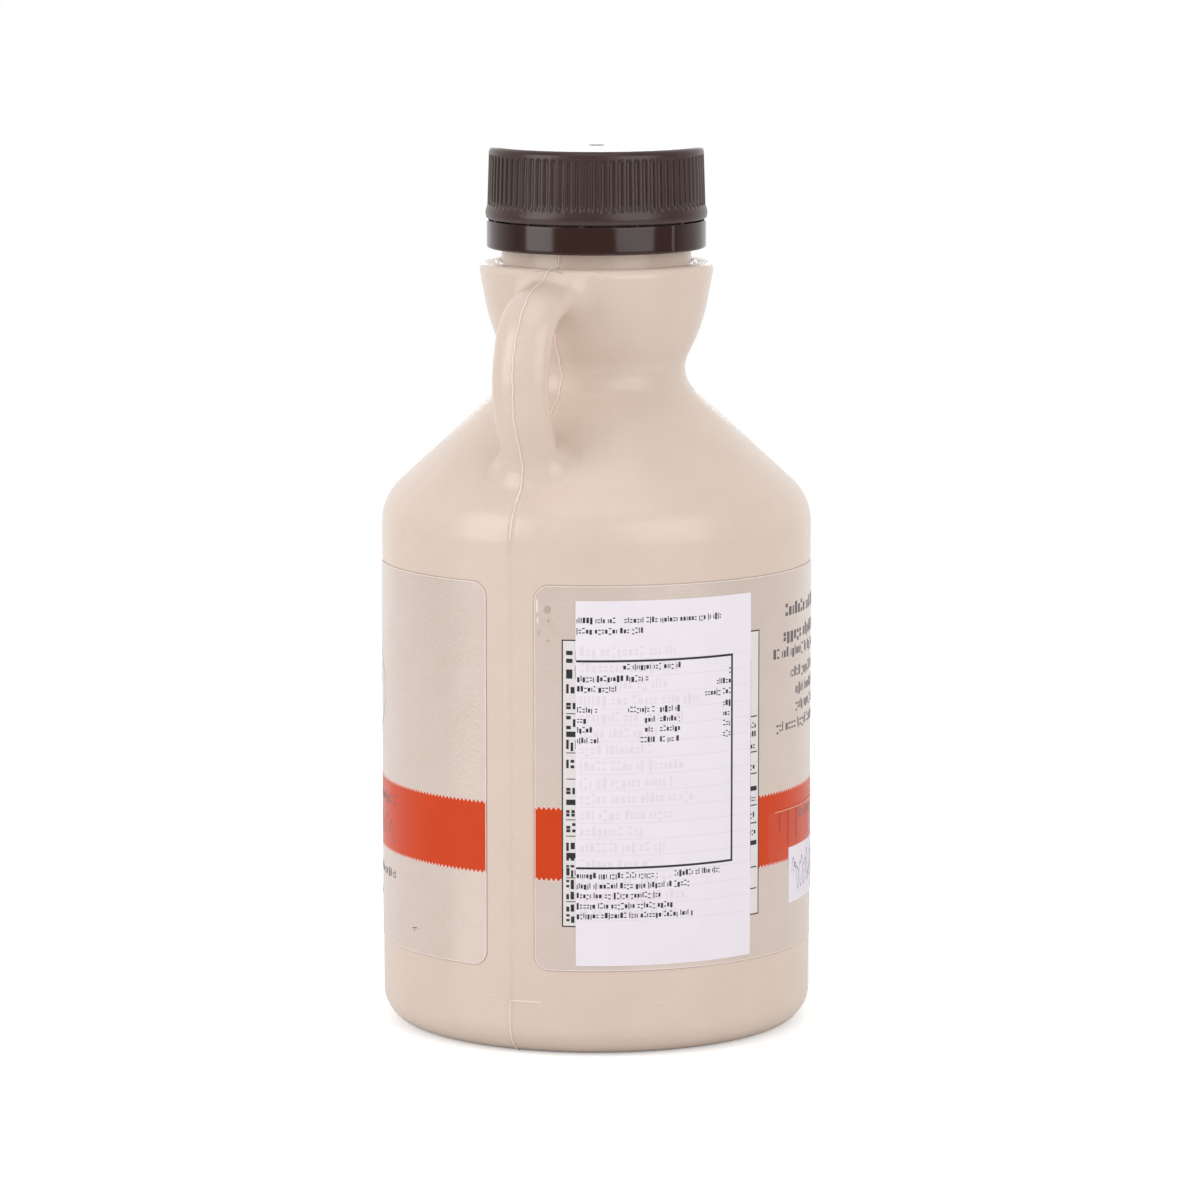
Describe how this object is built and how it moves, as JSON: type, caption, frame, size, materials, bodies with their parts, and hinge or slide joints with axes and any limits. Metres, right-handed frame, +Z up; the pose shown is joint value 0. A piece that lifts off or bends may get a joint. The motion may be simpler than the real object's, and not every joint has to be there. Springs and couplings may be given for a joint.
{
  "type": "maple syrup jug",
  "caption": "Small upright plastic syrup jug with a loop handle, sloping shoulders, a ribbed screw cap with its tamper band, wrap-round labels and stickers.",
  "frame": {"origin": "middle of the base, on the surface that the jug stands on", "axes": "+Z up; +X towards the loop handle; the front label faces -Y and the back label faces +Y"},
  "size_m": [0.0803, 0.0804, 0.1639],
  "materials": {
    "jug_plastic": "satin blow-moulded polyethylene, sand colour",
    "cap_plastic": "satin dark brown",
    "band_plastic": "glossy dark brown",
    "label_film": "pearly satin film with an orange printed band",
    "sticker_paper": "smooth white paper, faintly lilac",
    "tape_film": "clear glossy adhesive tape"
  },
  "bodies": {
    "root": {"jug": "jug_plastic", "cap": "cap_plastic", "tamper_band": "band_plastic", "front_label": "label_film", "back_label": "label_film", "info_sticker": "sticker_paper", "note_sticker": "sticker_paper", "clear_tape": "tape_film"}
  },
  "joints": []
}
